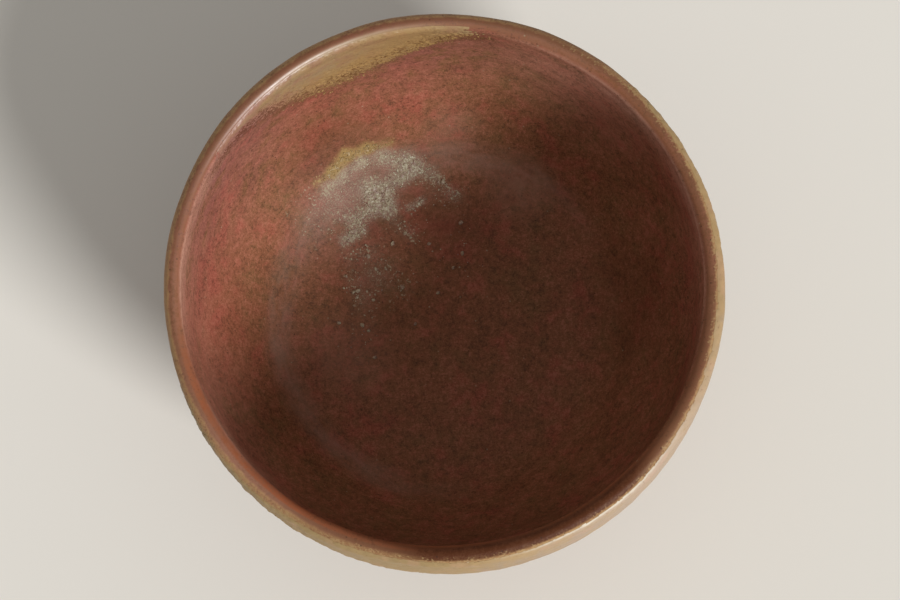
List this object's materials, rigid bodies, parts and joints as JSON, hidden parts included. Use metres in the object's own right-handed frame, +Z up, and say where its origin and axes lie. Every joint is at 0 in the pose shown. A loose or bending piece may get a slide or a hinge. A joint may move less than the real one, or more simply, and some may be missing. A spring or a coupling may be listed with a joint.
{
  "type": "tea bowl",
  "caption": "Wood-fired stoneware tea bowl: round thrown body on a luted foot ring, with natural kiln ash on its outside, under its lip and in its well.",
  "frame": {"origin": "middle of the foot, on the surface that the bowl stands on", "axes": "+Z up along the bowl's axis; in the picture +X is to the right and +Y is towards the top"},
  "size_m": [0.1313, 0.1314, 0.078],
  "materials": {
    "fired_clay": "satin, red-brown to dark chocolate, fine speckle",
    "foot_clay": "matte, bare clay",
    "pale_ash": "dry matte ash crust, beige to olive",
    "tan_ash": "satin tan ash with a speckled edge",
    "yellow_ash": "matte ochre ash",
    "grey_ash": "pale grey fused grains"
  },
  "bodies": {
    "root": {"thrown_body": "fired_clay", "foot_ring": "foot_clay", "foot_lute_outer": "foot_clay", "foot_lute_inner": "foot_clay", "outer_ash_coat": "pale_ash", "lip_ash_patch": "tan_ash", "well_ash_patch": "yellow_ash", "well_ash_drift": "grey_ash", "ash_grain_01": "grey_ash", "ash_grain_02": "grey_ash", "ash_grain_03": "grey_ash", "ash_grain_04": "grey_ash", "ash_grain_05": "grey_ash", "ash_grain_06": "grey_ash", "ash_grain_07": "grey_ash", "ash_grain_08": "grey_ash", "ash_grain_09": "grey_ash", "ash_grain_10": "grey_ash", "ash_grain_11": "grey_ash", "ash_grain_12": "grey_ash", "ash_grain_13": "grey_ash", "ash_grain_14": "grey_ash", "ash_grain_15": "grey_ash", "ash_grain_16": "grey_ash"}
  },
  "joints": []
}
